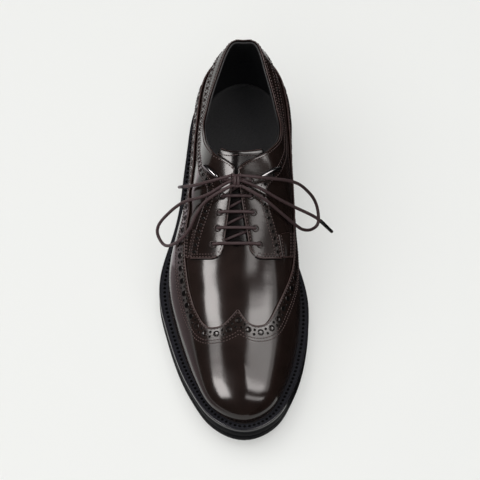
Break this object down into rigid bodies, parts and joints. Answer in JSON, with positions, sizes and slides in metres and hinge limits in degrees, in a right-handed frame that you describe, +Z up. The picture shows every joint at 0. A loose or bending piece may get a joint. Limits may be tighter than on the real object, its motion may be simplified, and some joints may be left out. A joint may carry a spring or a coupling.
{
  "type": "brogue derby shoe",
  "caption": "Right brogue derby in polished dark brown leather with a long wing cap, open lacing over a tongue and a thick black rubber sole with a stitched welt.",
  "frame": {"origin": "on the floor under the middle of the sole's outline", "axes": "+Y from toe to heel, +X towards the inner side of the foot, +Z up"},
  "size_m": [0.1312, 0.305, 0.1146],
  "materials": {
    "leather": "high polish",
    "rubber": "satin",
    "lining": "matte",
    "metal": "dark polished",
    "lace": "waxed"
  },
  "bodies": {
    "root": {"upper": "leather", "tongue": "leather", "wing": "leather", "facing_lateral": "leather", "facing_medial": "leather", "backstay": "leather", "outsole": "rubber", "heel": "rubber", "welt": "rubber", "insole": "lining", "eyelet_lateral_1": "metal", "eyelet_lateral_2": "metal", "eyelet_lateral_3": "metal", "eyelet_lateral_4": "metal", "eyelet_lateral_5": "metal", "eyelet_medial_1": "metal", "eyelet_medial_2": "metal", "eyelet_medial_3": "metal", "eyelet_medial_4": "metal", "eyelet_medial_5": "metal", "keeper_lateral": "metal", "keeper_medial": "metal", "lace_bar_1": "lace", "lace_bar_2": "lace", "lace_bar_3": "lace", "lace_bar_4": "lace", "lace_bar_5": "lace", "lace_knot": "lace", "lace_loop_lateral": "lace", "lace_loop_medial": "lace", "lace_end_lateral": "lace", "lace_end_medial": "lace"}
  },
  "joints": []
}
